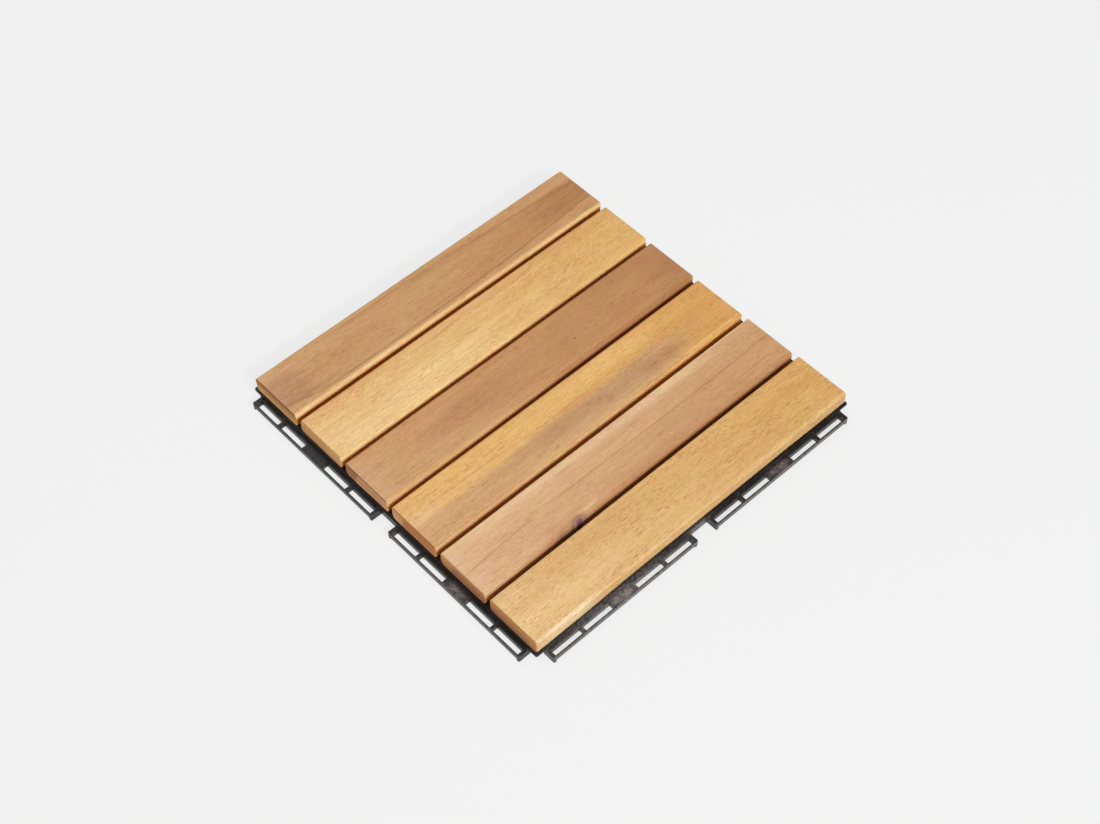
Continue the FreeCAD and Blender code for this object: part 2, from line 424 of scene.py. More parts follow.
@dataclass(frozen=True)
class TimberFigure:
    """Figure of plain timber: the noises it is made of, and the rings round a far pith."""

    broad: Weave = Weave(0.007, 0.085, 3.0, distortion=0.5)
    mottle: Weave = Weave(0.035, 0.11, 4.0, 0.6, 1.2)
    hue: Weave = Weave(0.04, 0.075, 3.0, 0.6, 0.8)
    long_fibres: Weave = Weave(0.014, 1.15, 4.0, 0.62, 0.15)
    short_fibres: Weave = Weave(0.075, 1.7, 3.0, 0.65, 0.3)
    flecks: Weave = Weave(0.26, 2.0, 1.0)
    long_pores: Weave = Weave(0.14, 1.5, 1.0)
    short_pores: Weave = Weave(0.30, 2.2, 1.0)
    crowding: Weave = Weave(0.016, 0.13)
    seed_step: float = 311.0
    side_step: float = 97.0
    pith_side: float = 35.0
    pith_step: float = 17.0
    pith_height: float = 55.0
    ring_rate: float = 0.36
    ring_sway: Span = (2.6, 0.5)
    ring_edge: float = 2.4
    fleck_band: Span = (0.60, 0.69)
    pore_bands: tuple[Span, Span] = ((0.56, 0.65), (0.57, 0.66))
    crowded_band: Span = (0.36, 0.62)
    least_crowded: float = 0.4

    def group(self) -> bpy.types.NodeTree:
        """Makes the group with the masks of plain timber.

        Broad is the slow change of tone, Mottle the curl, Hue the golden and rosy patches,
        Fine the fibres, Flecks the short light ones, Pores the open vessels that show as
        short dashes, Rings the yearly growth, which sharpens towards each ring's edge.

        Returns:
            The group's node tree.
        """
        names = ("Broad", "Mottle", "Hue", "Fine", "Flecks", "Pores", "Rings")
        g, i, out = shader_group("timber_figure", dict.fromkeys(("u", "v", "w", "seed"), 0.0), names)
        u, v, w = g.plus(i["u"], g.times(i["seed"], self.seed_step)), i["v"], i["w"]
        further = g.plus(u, self.side_step)
        broad = self.broad.noise(g, u, v, w)
        mottle = self.mottle.noise(g, u, v, w)
        hue = self.hue.noise(g, further, v, w)
        fibres = g.plus(self.long_fibres.noise(g, u, v, w), self.short_fibres.noise(g, further, v, w))
        flecks = g.ramp(self.flecks.noise(g, further, v, w), self.fleck_band)
        long_pores = g.ramp(self.long_pores.noise(g, u, v, w), self.pore_bands[0])
        short_pores = g.ramp(self.short_pores.noise(g, u, v, w), self.pore_bands[1])
        crowding = self.crowding.noise(g, u, v, w)
        crowding = g.ramp(crowding, self.crowded_band, self.least_crowded, 1.0)
        pores = g.times(g.math("MAXIMUM", long_pores, short_pores), crowding)
        side = g.plus(v, g.scaled(i["seed"], self.pith_step, self.pith_side))
        height = g.minus(w, self.pith_height)
        radius = g.math("SQRT", g.plus(g.times(side, side), g.times(height, height)))
        turns = g.scaled(radius, self.ring_rate, g.times(broad, self.ring_sway[0]))
        turns = g.scaled(mottle, self.ring_sway[1], turns)
        rings = g.math("POWER", g.math("FRACT", turns), self.ring_edge)
        for name, mask in zip(names, (broad, mottle, hue, g.times(fibres, 0.5), flecks, pores, rings)):
            g.feed(out[name], mask)
        return g.tree


@dataclass(frozen=True)
class PlasticWear:
    """Wear of moulded plastic: waves to a metre of its broad dust, close patches and fine grain.

    The layers are the detail and the roughness of a noise.
    """

    dust: float = 45.0
    patches: float = 420.0
    grain: float = 2600.0
    dust_layers: Span = (5.0, 0.65)
    dust_band: Span = (0.42, 0.72)
    patch_layers: Span = (3.0, 0.6)

    def group(self) -> bpy.types.NodeTree:
        """Makes the group with the masks Dust, Patches and Grain.

        Returns:
            The group's node tree.
        """
        names = ("Dust", "Patches", "Grain")
        g, i, out = shader_group("plastic_wear", {"Place": (0.0, 0.0, 0.0)}, names)
        dust, patches, grain = (
            g.add("ShaderNodeVectorMath", {0: i["Place"], 1: (rate,) * 3}, operation="MULTIPLY").outputs[0]
            for rate in (self.dust, self.patches, self.grain)
        )
        g.feed(out["Dust"], g.ramp(g.noise(dust, *self.dust_layers), self.dust_band))
        g.feed(out["Patches"], g.noise(patches, *self.patch_layers))
        g.feed(out["Grain"], g.noise(grain))
        return g.tree


@dataclass(frozen=True)
class SharedGroups:
    """The node groups that several finishes use, each made once."""

    streak: bpy.types.NodeTree = field(default_factory=Streak.group)
    figure: bpy.types.NodeTree = field(default_factory=lambda: TimberFigure().group())
    wear: bpy.types.NodeTree = field(default_factory=lambda: PlasticWear().group())


# Finishes


@dataclass(frozen=True)
class Knot:
    """A small knot: dark heart, reddish rim and pale grain swept round it.

    The knot is drawn out along the grain, and its bands are distances from its middle in
    radii, roughened by the fibres and the mottle. The grain is swept aside by so many radii
    within an oval of the sweep's reach.
    """

    u: float
    v: float
    radius: float
    heart: Colour
    rim: Colour
    halo: Colour
    halo_strength: float
    drawn_out: float = 1 / 0.55
    roughened: Span = (0.9, 0.8)
    heart_edge: Span = (0.35, 0.95)
    rim_edge: Span = (0.8, 1.6)
    rim_strength: float = 0.85
    halo_begins: Span = (0.9, 1.9)
    halo_ends: Span = (2.0, 3.6)
    sweep: float = 2.2
    sweep_reach: Span = (1 / 0.35, 1 / 0.32)


@dataclass(frozen=True)
class Curl:
    """A patch of waved grain that crosses the slat at a slant, in millimetres of u and v.

    The waves are noise, with so many to a millimetre across and along them.
    """

    u: float
    v: float
    reach_u: float
    reach_v: float
    strength: float
    slant: float = -1.0
    waves: Span = (0.24, 0.05)
    bend: float = 0.7


@dataclass(frozen=True)
class EndGrain:
    """Colours of a sawn end: its upper edge, and the face from high to low.

    Left of v = split the face is multiplied by the left tint, and at its foot by a gain
    that paints light there (painted shade where it is under 1).
    The bands are depths w. Broad noise sways the layers by the first sway and the split by
    the second, in millimetres, and the split leans by a share of the depth.
    """

    rim: Colour
    high: Colour
    low: Colour
    left: Colour = (1.0, 1.0, 1.0)
    split: float = 60.0
    # gain of painted light at the foot of the face, painted shade where under 1
    foot: float = 1.0
    rim_band: Span = (-1.1, -0.5)
    layer_band: Span = (-9.0, -2.5)
    foot_band: Span = (-11.0, -9.0)
    sway: Span = (5.0, 6.0)
    lean: float = 0.35
    softness: float = 1.5
    far_rim: float = 0.75
    speckle: Span = (0.50, 0.73)


@dataclass(frozen=True)
class EdgeBands:
    """Where the look and the painted light and shade of a slat change near its edges: depths w,
    and distances from u or v = 0.
    """

    pale_end: Span = (-148.0, -126.0)
    crown: Span = (-1.35, -0.6)
    upper: Span = (-5.0, -3.2)
    fall: float = 4.0
    foot: Span = (-11.8, -9.8)
    speckled: Span = (18.5, 21.5)
    side: Span = (20.4, 22.2)


@dataclass(frozen=True)
class Tones:
    """What the colour of plain timber is multiplied by where a mask shows, and the masks' bands."""

    pale_end: Colour = (1.04, 1.13, 1.28)
    rosy: Colour = (1.02, 0.97, 1.05)
    golden: Colour = (0.985, 1.03, 0.96)
    fibres: Colour = (0.82, 0.74, 0.64)
    rings: Colour = (0.80, 0.71, 0.62)
    pores: Colour = (0.64, 0.52, 0.40)
    flecks: Colour = (1.10, 1.13, 1.18)
    curls: Colour = (0.84, 0.74, 0.60)
    specks: Colour = (1.10, 1.13, 1.08)
    hue_band: Span = (0.40, 0.60)
    broad_band: Span = (0.32, 0.68)
    mottle_band: Span = (0.38, 0.66)
    fibre_band: Span = (0.40, 0.61)
    curl_band: Span = (0.40, 0.64)
    speck_bands: tuple[Span, Span] = ((0.48, 0.60), (0.44, 0.58))
    speck_strength: float = 0.7


@dataclass(frozen=True)
class TimberFinish:
    """Oiled hardwood of one slat.

    near and far are the colours at the two ends, and change is where one passes into the
    other. broad, mottle, hue, fine, flecks, pores and rings say how strongly each mask of
    the plain timber shows. The arris gains paint a highlight on the rounded edges (painted
    shade where a gain is under 1), the right side's own gain paints light on the top of that
    side, and the side shade paints a darker, richer shade lower down the sides, on the left
    (+v) and right. Pores and sawn ends are rougher than the rest. The relief is its
    strength and its depth in millimetres.
    """

    seed: float
    near: Colour
    far: Colour
    ends: EndGrain
    tint: Colour
    broad: float = 0.7
    mottle: float = 0.55
    hue: float = 0.5
    fine: float = 0.5
    flecks: float = 0.4
    pores: float = 0.5
    rings: float = 0.16
    near_pale: float = 0.85
    streaks: tuple[Streak, ...] = ()
    knots: tuple[Knot, ...] = ()
    curls: tuple[Curl, ...] = ()
    # painted light: highlight gains of the rounded edges (painted shade where under 1) and of the right side
    arris_light_left: float = 1.12
    arris_right: float = 0.94
    side_right: Colour = (1.17, 1.29, 1.43)
    # painted shade low on the sides, where it starts, and its share on the left
    deep: Colour = (1.0, 0.49, 0.04)
    deep_from: float = -4.0
    deep_left: float = 1.0
    change: Span = (-150.0, 150.0)
    bands: EdgeBands = EdgeBands()
    tones: Tones = Tones()
    roughness: float = 0.55
    rougher: float = 0.18
    shine: float = 0.25
    ior: float = 1.48
    relief: Span = (0.35, 0.12)
    pore_depth: float = 0.7
    fibre_depth: float = 0.35

    def material(self, name: str, middle: float, groups: SharedGroups) -> bpy.types.Material:
        """Builds the material.

        Args:
            name: the material's name.
            middle: Y of the slat's middle in millimetres.
            groups: the shared node groups.

        Returns:
            The new material.
        """
        material = bpy.data.materials.new(name)
        g = blank(material)
        coat = TimberCoat(self, g, middle, groups)
        pores, fine = coat.masks["Pores"], coat.masks["Fine"]
        ends = g.add("ShaderNodeAttribute", attribute_name="end_grain").outputs["Fac"]
        height = g.scaled(pores, -self.pore_depth, g.times(fine, -self.fibre_depth))
        rough = g.scaled(ends, self.rougher, g.scaled(pores, self.rougher, self.roughness))
        g.surface(
            {
                "Base Color": g.mix(ends, coat.faces(), coat.sawn()),
                "Roughness": rough,
                "IOR": self.ior,
                "Specular IOR Level": self.shine,
                "Normal": g.bump(*self.relief, height),
            }
        )
        return material


class TimberCoat:
    """Colour of one slat, laid up layer by layer in the node tree of its material."""

    def __init__(self, finish: TimberFinish, g: Graph, middle: float, groups: SharedGroups) -> None:
        """Works out the place in the slat and the masks of its figure.

        Args:
            finish: the slat's finish.
            g: graph on the material's node tree.
            middle: Y of the slat's middle in millimetres.
            groups: the shared node groups.
        """
        self.finish, self.g, self.groups = finish, g, groups
        x, y, z = g.axes(g.place())
        self.u = g.times(x, 1 / MM)
        self.v = g.scaled(y, 1 / MM, -middle)
        self.w = g.scaled(z, 1 / MM, -SlatSize.top)
        self.swept = self._swept()
        place = {"u": self.u, "v": self.swept, "w": self.w, "seed": finish.seed}
        self.masks = g.group(groups.figure, place)
        self.colour = g.mix(g.ramp(self.u, finish.change), finish.near, finish.far)

    def faces(self) -> Socket:
        """Lays every layer, from the ground to the edges.

        Returns:
            The colour of the faces.
        """
        pale_end = self.g.ramp(self.u, self.finish.bands.pale_end, self.finish.near_pale, 0.0)
        self._tint(pale_end, self.finish.tones.pale_end)
        self._streaks()
        self._figure()
        self._curls()
        self._knots()
        self._edges()
        return self.colour

    def sawn(self) -> Socket:
        """Lays the sawn ends, in layers of the depth w with a fine speckle.

        Returns:
            The colour of the ends.
        """
        g, ends, w = self.g, self.finish.ends, self.w
        drift = g.minus(self.masks["Broad"], 0.5)
        layer = g.scaled(drift, ends.sway[0], w)
        face = g.mix(g.ramp(layer, ends.layer_band), ends.low, ends.high)
        across = g.scaled(w, ends.lean, g.scaled(drift, ends.sway[1], self.v))
        left = g.ramp(across, (ends.split - ends.softness, ends.split + ends.softness))
        face = g.mix(left, face, g.tinted(face, ends.left))
        # painted light at the foot of the sawn face, painted shade where the foot gain is under 1
        face = g.tinted(face, g.ramp(w, ends.foot_band, ends.foot, 1.0))
        rim = g.mix(g.ramp(self.u, (-1.0, 1.0), 0.0, ends.far_rim), ends.rim, ends.high)
        face = g.mix(g.ramp(w, ends.rim_band), face, rim)
        return g.tinted(face, g.scaled(self.masks["Fine"], *ends.speckle))

    def _tint(self, mask: Value, tint: Socket | Colour) -> None:
        """Tints the colour where the mask shows."""
        self.colour = self.g.mix(mask, self.colour, self.g.tinted(self.colour, tint))

    def _swept(self) -> Socket:
        """Sweeps the grain aside by a soft oval round each knot.

        Returns:
            The place across the grain, in millimetres.
        """
        v = self.v
        for knot in self.finish.knots:
            reach = (knot.radius * knot.sweep_reach[0], knot.radius * knot.sweep_reach[1])
            pull = self.g.oval(self.u, v, (knot.u, knot.v), reach)
            v = self.g.scaled(pull, -knot.sweep * knot.radius, v)
        return v

    def _streaks(self) -> None:
        """Lays each streak over the colour."""
        for streak in self.finish.streaks:
            inputs = {name: getattr(streak, name) for name in Streak.SHAPE}
            inputs |= {"u": self.u, "v": self.swept, "grain": self.masks["Fine"]}
            inputs["seed"] = streak.seed + self.finish.seed
            mask = self.g.group(self.groups.streak, inputs)["Mask"]
            self.colour = self.g.mix(self.g.times(mask, streak.strength), self.colour, streak.colour)

    def _figure(self) -> None:
        """Shifts the colour by the masks of plain timber."""
        g, masks, finish, tones = self.g, self.masks, self.finish, self.finish.tones
        rosy, golden = g.tinted(self.colour, tones.rosy), g.tinted(self.colour, tones.golden)
        patches = g.mix(g.ramp(masks["Hue"], tones.hue_band), rosy, golden)
        self.colour = g.mix(finish.hue, self.colour, patches)
        for mask, share, tint in (
            (g.ramp(masks["Broad"], tones.broad_band), finish.broad, finish.tint),
            (g.ramp(masks["Mottle"], tones.mottle_band), finish.mottle, finish.tint),
            (g.ramp(masks["Fine"], tones.fibre_band), finish.fine, tones.fibres),
            (masks["Rings"], finish.rings, tones.rings),
            (masks["Pores"], finish.pores, tones.pores),
            (masks["Flecks"], finish.flecks, tones.flecks),
        ):
            self._tint(g.times(mask, share), tint)

    def _curls(self) -> None:
        """Darkens waves of noise in (u + s v, v - s u) within the soft oval of each curl."""
        g, u, v = self.g, self.u, self.v
        for curl in self.finish.curls:
            oval = g.oval(u, v, (curl.u, curl.v), (curl.reach_u, curl.reach_v))
            across = g.times(g.scaled(v, curl.slant, u), curl.waves[0])
            along = g.times(g.scaled(u, -curl.slant, v), curl.waves[1])
            noise = g.noise(g.point(across, along, self.finish.seed), distortion=curl.bend)
            waves = g.ramp(noise, self.finish.tones.curl_band)
            self._tint(g.times(waves, oval, curl.strength), self.finish.tones.curls)

    def _knots(self) -> None:
        """Lays halo, rim and heart of each knot over the colour."""
        g = self.g
        fine, mottle = g.minus(self.masks["Fine"], 0.5), g.minus(self.masks["Mottle"], 0.5)
        for knot in self.finish.knots:
            reach = (knot.radius * knot.drawn_out, knot.radius)
            away = g.math("SQRT", g.apart(self.u, self.v, (knot.u, knot.v), reach))
            away = g.plus(away, g.times(fine, knot.roughened[0]), g.times(mottle, knot.roughened[1]))
            halo = g.times(g.ramp(away, knot.halo_begins), g.ramp(away, knot.halo_ends, 1.0, 0.0))
            halo = g.times(halo, knot.halo_strength)
            rim = g.ramp(away, knot.rim_edge, knot.rim_strength, 0.0)
            heart = g.ramp(away, knot.heart_edge, 1.0, 0.0)
            for mask, colour in ((halo, knot.halo), (rim, knot.rim), (heart, knot.heart)):
                self.colour = g.mix(mask, self.colour, colour)

    def _edges(self) -> None:
        """Paints light on the rounded edges and upper sides, lays pale specks, and paints shade lower down.
        """
        g, w, masks, finish, bands = self.g, self.w, self.masks, self.finish, self.finish.bands
        crown = g.ramp(w, bands.crown)
        upper = g.ramp(w, bands.upper)
        # painted shade low on the sides, fading out at the foot
        deep = g.ramp(w, (finish.deep_from - bands.fall, finish.deep_from), 1.0, 0.0)
        deep = g.times(deep, g.ramp(w, bands.foot))
        fine_band, mottle_band = finish.tones.speck_bands
        specks = g.times(
            g.ramp(masks["Fine"], fine_band),
            g.ramp(g.math("ABSOLUTE", self.v), bands.speckled),
            g.ramp(masks["Mottle"], mottle_band, 0.0, finish.tones.speck_strength),
        )
        self._tint(specks, finish.tones.specks)
        left_arris_light, right_arris_light = (finish.arris_light_left,) * 3, (finish.arris_right,) * 3
        for sign, top_light, side_light, share in (
            (1.0, left_arris_light, left_arris_light, finish.deep_left),
            (-1.0, right_arris_light, finish.side_right, 1.0),
        ):
            side = g.ramp(g.times(self.v, sign), bands.side)
            # painted highlight on the rounded edge and painted light on the side below it, then painted
            # shade lower down
            self._tint(g.times(side, upper), g.mix(crown, side_light, top_light))
            self._tint(g.times(side, deep, share), finish.deep)


@dataclass(frozen=True)
class SheenMark:
    """A soft pale mark of painted sheen on the plastic, in millimetres of X and Y."""

    x: float
    y: float
    along_x: float
    along_y: float
    strength: float


def painted_sheen_marks() -> tuple[SheenMark, ...]:
    """Marks of painted sheen on the pads between the slots, along the outer bars and at the notches.

    Returns:
        The marks that have any strength.
    """
    pad_middle, pad_out, bar_middle = 75.0, 153.6, 78.0
    marks = []
    # strengths of the painted sheen on the pads and bars of each half
    for half, end_pad, side_pad, end_bar, side_bar in (
        (-1, 0.62, 1.5, 0.3, 0.52),
        (1, 0.0, 0.74, 0.0, 0.07),
    ):
        for shift, share in ((2.5, 1.0), (-6.0, 0.6)):
            along = half * pad_middle + shift
            for out, x_pad, y_pad in ((-pad_out, end_pad, side_pad), (pad_out, 0.4, 0.4)):
                marks.append(SheenMark(out, along, 2.6, 4.5, share * x_pad))
                marks.append(SheenMark(along, out, 4.5, 2.6, share * y_pad))
        marks.append(SheenMark(-156.9, half * bar_middle, 1.3, 60.0, end_bar))
        marks.append(SheenMark(half * bar_middle, -152.5, 60.0, 4.5, side_bar))
    # painted sheen along the outer face of the -Y bar and on its notch lip
    marks.append(SheenMark(0.0, -158.4, 400.0, 1.4, 0.6))
    marks.append(SheenMark(0.0, -149.2, 9.0, 2.0, 0.35))
    return tuple(mark for mark in marks if mark.strength > 0)


@dataclass(frozen=True)
class PlasticFinish:
    """Black moulded plastic with a satin skin, a fine eroded grain, some dust and painted sheen.

    The skin's waves and grain are the strength of each relief and its depth in millimetres.
    """

    body: Colour = (0.0085, 0.0070, 0.0074)
    dust: Colour = (0.22, 0.198, 0.202)
    dust_share: float = 0.06
    # mottle of the painted sheen marks
    sheen_patch_band: Span = (0.32, 0.66)
    sheen_patchiness: Span = (0.35, 1.5)
    roughness: float = 0.30
    dusty: float = 0.14
    shine: float = 0.32
    ior: float = 1.5
    waves: Span = (0.6, 0.55)
    grain: Span = (0.16, 0.06)
    # marks of painted sheen
    sheen_marks: tuple[SheenMark, ...] = field(default_factory=painted_sheen_marks)

    def material(self, name: str, groups: SharedGroups) -> bpy.types.Material:
        """Builds the material.

        Args:
            name: the material's name.
            groups: the shared node groups.

        Returns:
            The new material.
        """
        material = bpy.data.materials.new(name)
        g = blank(material)
        place = g.place()
        wear = g.group(groups.wear, {"Place": place})
        colour = g.mix(g.times(wear["Dust"], self.dust_share), self.body, self.dust)
        x, y, _ = g.axes(place)
        # painted sheen: pale marks in the dust colour, mottled by the patches
        sheen_patches = g.ramp(wear["Patches"], self.sheen_patch_band, *self.sheen_patchiness)
        for sheen in self.sheen_marks:
            reach = (sheen.along_x * MM, sheen.along_y * MM)
            mark = g.oval(x, y, (sheen.x * MM, sheen.y * MM), reach)
            colour = g.mix(g.times(mark, sheen_patches, sheen.strength), colour, self.dust)
        sunk = g.bump(*self.waves, wear["Patches"])
        g.surface(
            {
                "Base Color": colour,
                "Roughness": g.scaled(wear["Dust"], self.dusty, self.roughness),
                "IOR": self.ior,
                "Specular IOR Level": self.shine,
                "Normal": g.bump(*self.grain, wear["Grain"], Normal=sunk),
            }
        )
        return material


@dataclass(frozen=True)
class SteelFinish:
    """Zinc plated steel with faint patches."""

    body: Colour = (0.60, 0.585, 0.55)
    dull: Colour = (0.40, 0.38, 0.34)
    roughness: float = 0.28
    duller: float = 0.2

    def material(self, name: str, groups: SharedGroups) -> bpy.types.Material:
        """Builds the material.

        Args:
            name: the material's name.
            groups: the shared node groups.

        Returns:
            The new material.
        """
        material = bpy.data.materials.new(name)
        g = blank(material)
        patches = g.group(groups.wear, {"Place": g.place()})["Dust"]
        colour = g.mix(patches, self.body, self.dull)
        rough = g.scaled(patches, self.duller, self.roughness)
        g.surface({"Base Color": colour, "Metallic": 1.0, "Roughness": rough})
        return material


# Meshes


def mesh_object(name: str, points: np.ndarray, faces: list[tuple[int, ...]]) -> bpy.types.Object:
    """Smooth object from points and faces.

    Args:
        name: the object's name.
        points: array of n by 3, in millimetres.
        faces: corner numbers of each face.

    Returns:
        The new object, linked to the scene.
    """
    mesh = bpy.data.meshes.new(name)
    mesh.from_pydata((points * MM).tolist(), [], faces)
    mesh.update()
    return linked(name, mesh)


def linked(name: str, mesh: bpy.types.Mesh) -> bpy.types.Object:
    """Object with a mesh, shaded smooth and linked to the scene.

    Args:
        name: the object's name.
        mesh: its mesh.

    Returns:
        The new object.
    """
    mesh.polygons.foreach_set("use_smooth", [True] * len(mesh.polygons))
    piece = bpy.data.objects.new(name, mesh)
    bpy.context.scene.collection.objects.link(piece)
    return piece


def tube_faces(rings: int, around: int) -> list[tuple[int, ...]]:
    """Faces between rings that each go once round, and last the two that close the ends.

    Args:
        rings: number of rings.
        around: number of points in each ring.

    Returns:
        The corner numbers of each face.
    """
    ring = np.arange(rings - 1)[:, None] * around
    step = np.arange(around)[None, :]
    following = (step + 1) % around
    corners = [ring + step, ring + following, ring + around + following, ring + around + step]
    faces = [tuple(quad) for quad in np.stack(corners, -1).reshape(-1, 4).tolist()]
    faces.append(tuple(range(around - 1, -1, -1)))
    faces.append(tuple(range((rings - 1) * around, rings * around)))
    return faces


def wavy(place: np.ndarray, seed: float, waves: Sequence[Span]) -> np.ndarray:
    """Quiet irregularity of hand-worked edges: the sum of a sin(k s + seed) over all waves.

    Args:
        place: the places s.
        seed: shifts the waves.
        waves: rate k and amount a of each wave.

    Returns:
        The sum at each place.
    """
    total = np.zeros_like(place)
    for number, (rate, amount) in enumerate(waves):
        total += amount * np.sin(rate * place + seed * (number + 1.7) + number)
    return total


def attach(piece: bpy.types.Object, node: str) -> None:
    """Fixes a piece to the tile, in place of a CAD node, which it hides.

    Args:
        piece: the new piece.
        node: name of the CAD node.
    """
    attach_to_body(piece, "root")
    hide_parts(node)
    piece.data.calc_loop_triangles()
    LOG.info("%s stands for %s: %d triangles", piece.name, node, len(piece.data.loop_triangles))


@dataclass(frozen=True)
class SlatSize:
    """Sizes of one slat in millimetres, as in the CAD frame, and of its end bevels."""

    pitch: float = 50.0
    length: float = 295.0
    width: float = 46.0
    low: float = 8.0
    top: float = 20.0
    top_radius: float = 2.0
    low_left_radius: float = 4.0
    low_right_radius: float = 1.6
    bevel: float = 0.45
    far_bevel: float = 0.45


@dataclass(frozen=True)
class Chip:
    """A ragged break at the lower edge of one end of a slat, between two places v.

    It fades out over the reach along the slat, the sides across it and the fade above it.
    Its depth is an even share of itself plus the ragged waves.
    """

    end: End
    v_start: float
    v_stop: float
    depth: float
    height: float
    reach: float = 2.5
    sides: float = 1.5
    fade: float = 1.2
    ragged: tuple[Span, ...] = ((1.1, 0.22), (2.7, 0.16), (5.3, 0.10))
    even_share: float = 0.65
    seed: float = 1.3

    def push(self, points: np.ndarray, size: SlatSize) -> np.ndarray:
        """Pushes the edge in by d(v) e(z), where d is a sum of sines within the chip.

        Args:
            points: the slat's points, with x, y and z in the last axis.
            size: the slat's sizes.

        Returns:
            The pushed points.
        """
        x, v, z = points[..., 0], points[..., 1], points[..., 2]
        near = np.clip((x * self.end.value - (size.length / 2 - self.reach)) / self.reach, 0, 1)
        inside = np.clip((v - self.v_start) / self.sides, 0, 1)
        inside *= np.clip((self.v_stop - v) / self.sides, 0, 1)
        lower = np.clip((size.low + self.height - z) / self.fade, 0, 1)
        worn = self.even_share + wavy(v, self.seed, self.ragged)
        push = self.depth * near * inside * lower * worn
        return np.stack([x - self.end.value * push, v, z], -1)


@dataclass(frozen=True)
class Slat:
    """One timber slat as a closed surface of rings along its length.

    The end's flat, slope and run are its profile, in shares of the bevel: how far back from
    the end each ring lies, and how far its section is set in there. The even rings begin
    end_clear bevels from the end, and the end grain is seen up to sawn_from of a bevel. The
    sides and the underside take a share of the set-in, and the radii shrink by one. The waves
    are the rate and amount of the waver of the edges, of the top and of the sides.
    """

    number: int
    finish: TimberFinish
    chips: tuple[Chip, ...] = ()
    size: SlatSize = SlatSize()
    trim_left: float = 0.06
    trim_right: float = 0.06
    trim_far: float = 0.0
    low_swell: float = 0.0
    swell_middle: float = 8.0
    swell_reach: Span = (112.0, 36.0)
    stations: int = 90
    arc: int = 7
    flat: int = 26
    side: int = 3
    end_flat: tuple[Span, ...] = ((0.0, 2.1), (0.0, 1.5), (0.0, 1.14), (0.02, 1.06), (0.07, 0.98))
    end_slope: tuple[Span, ...] = ((0.16, 0.87), (0.38, 0.63), (0.62, 0.38), (0.84, 0.15))
    end_run: tuple[Span, ...] = ((0.93, 0.07), (1.0, 0.03), (1.06, 0.01), (1.14, 0.0), (1.6, 0.0))
    end_clear: float = 2.2
    sawn_from: float = 0.86
    sawn_over: float = 0.42
    side_share: float = 0.6
    low_share: float = 0.12
    top_shrink: float = 0.8
    low_shrink: float = 0.35
    least_radius: float = 0.3
    top_sink: float = 0.05
    edge_waves: tuple[Span, ...] = ((0.021, 0.10), (0.057, 0.07), (0.13, 0.04))
    top_waves: tuple[Span, ...] = ((0.017, 0.03), (0.043, 0.02))
    side_waves: tuple[Span, ...] = ((0.015, 0.03), (0.036, 0.03))

    @property
    def middle(self) -> float:
        """Y of the slat's middle, with slat 1 farthest out on the left."""
        return (3.5 - self.number) * self.size.pitch

    def build(self) -> bpy.types.Object:
        """Makes the surface S(s, t): a rounded section t, set in by i(s), at the station x(s).

        Returns:
            The new piece, with the share of end grain as a value of each point.
        """
        x, inset = self._stations()
        section = self._sections(x, inset)
        along = np.broadcast_to(x[:, None, None], section.shape[:2] + (1,))
        points = np.concatenate([along, section], axis=2)
        for chip in self.chips:
            points = chip.push(points, self.size)
        rings, around = points.shape[:2]
        flat = points.reshape(-1, 3)
        flat[:, 1] += self.middle
        piece = mesh_object(f"timber_{self.number}", flat, tube_faces(rings, around))
        sunk = np.minimum(x - x.min(), x.max() - x)
        bevel = np.where(x < 0, self.size.bevel, self.size.far_bevel)
        ends = np.clip((self.sawn_from - sunk / bevel) / self.sawn_over, 0, 1)
        attribute = piece.data.attributes.new("end_grain", "FLOAT", "POINT")
        attribute.data.foreach_set("value", np.repeat(ends, around).astype(np.float32))
        return piece

    def _stations(self) -> tuple[np.ndarray, np.ndarray]:
        """Divides the slat along its length, closely at the ends and evenly between them.

        Returns:
            The places, and how far the section is set in at each.
        """
        near, far = self.size.length / 2, self.size.length / 2 - self.trim_far
        bevel, far_bevel = self.size.bevel, self.size.far_bevel
        back, inward = np.array(self.end_flat + self.end_slope + self.end_run).T
        clear = self.end_clear
        middle = np.linspace(-near + clear * bevel, far - clear * far_bevel, self.stations)
        x = np.concatenate([-near + bevel * back, middle, far - far_bevel * back[::-1]])
        inset = np.concatenate([bevel * inward, np.zeros(self.stations), far_bevel * inward[::-1]])
        return x, inset

    def _sections(self, x: np.ndarray, inset: np.ndarray) -> np.ndarray:
        """Rounded rectangle at each station.

        The four corner arcs are c + r (cos a, sin a). The flats between them are divided
        evenly. The top and its edges waver a little along the slat, always inward, and
        the low right radius swells along the slat's middle.

        Args:
            x: the stations.
            inset: how far the section is set in at each.

        Returns:
            Array of station, point round the section, and y and z.
        """
        size = self.size
        reach, fade = self.swell_reach
        swell = self.low_swell * np.clip((reach - np.abs(x - self.swell_middle)) / fade, 0.0, 1.0)
        seed = float(self.number)
        top_radius = size.top_radius + wavy(x, seed, self.edge_waves)
        sink = self.top_sink + wavy(x, seed + 2.0, self.top_waves)
        half = size.width / 2 - self.side_share * inset - wavy(x, seed + 4.0, self.side_waves)
        left, right = half - self.trim_left, half - self.trim_right
        low, high = size.low + self.low_share * inset, size.top - inset - sink
        top_radius = top_radius - self.top_shrink * inset
        low_left = size.low_left_radius - self.low_shrink * inset
        low_right = size.low_right_radius + swell - self.low_shrink * inset
        arcs = [
            self._arc(left, low, low_left, -90.0),
            self._arc(left, high, top_radius, 0.0),
            self._arc(-right, high, top_radius, 90.0),
            self._arc(-right, low, low_right, 180.0),
        ]
        runs = []
        for number, arc in enumerate(arcs):
            following = arcs[(number + 1) % 4]
            count = self.side if number % 2 == 0 else self.flat
            share = np.linspace(0.0, 1.0, count + 2)[1:-1, None]
            runs += [arc, arc[:, -1:] * (1 - share) + following[:, :1] * share]
        return np.concatenate(runs, axis=1)

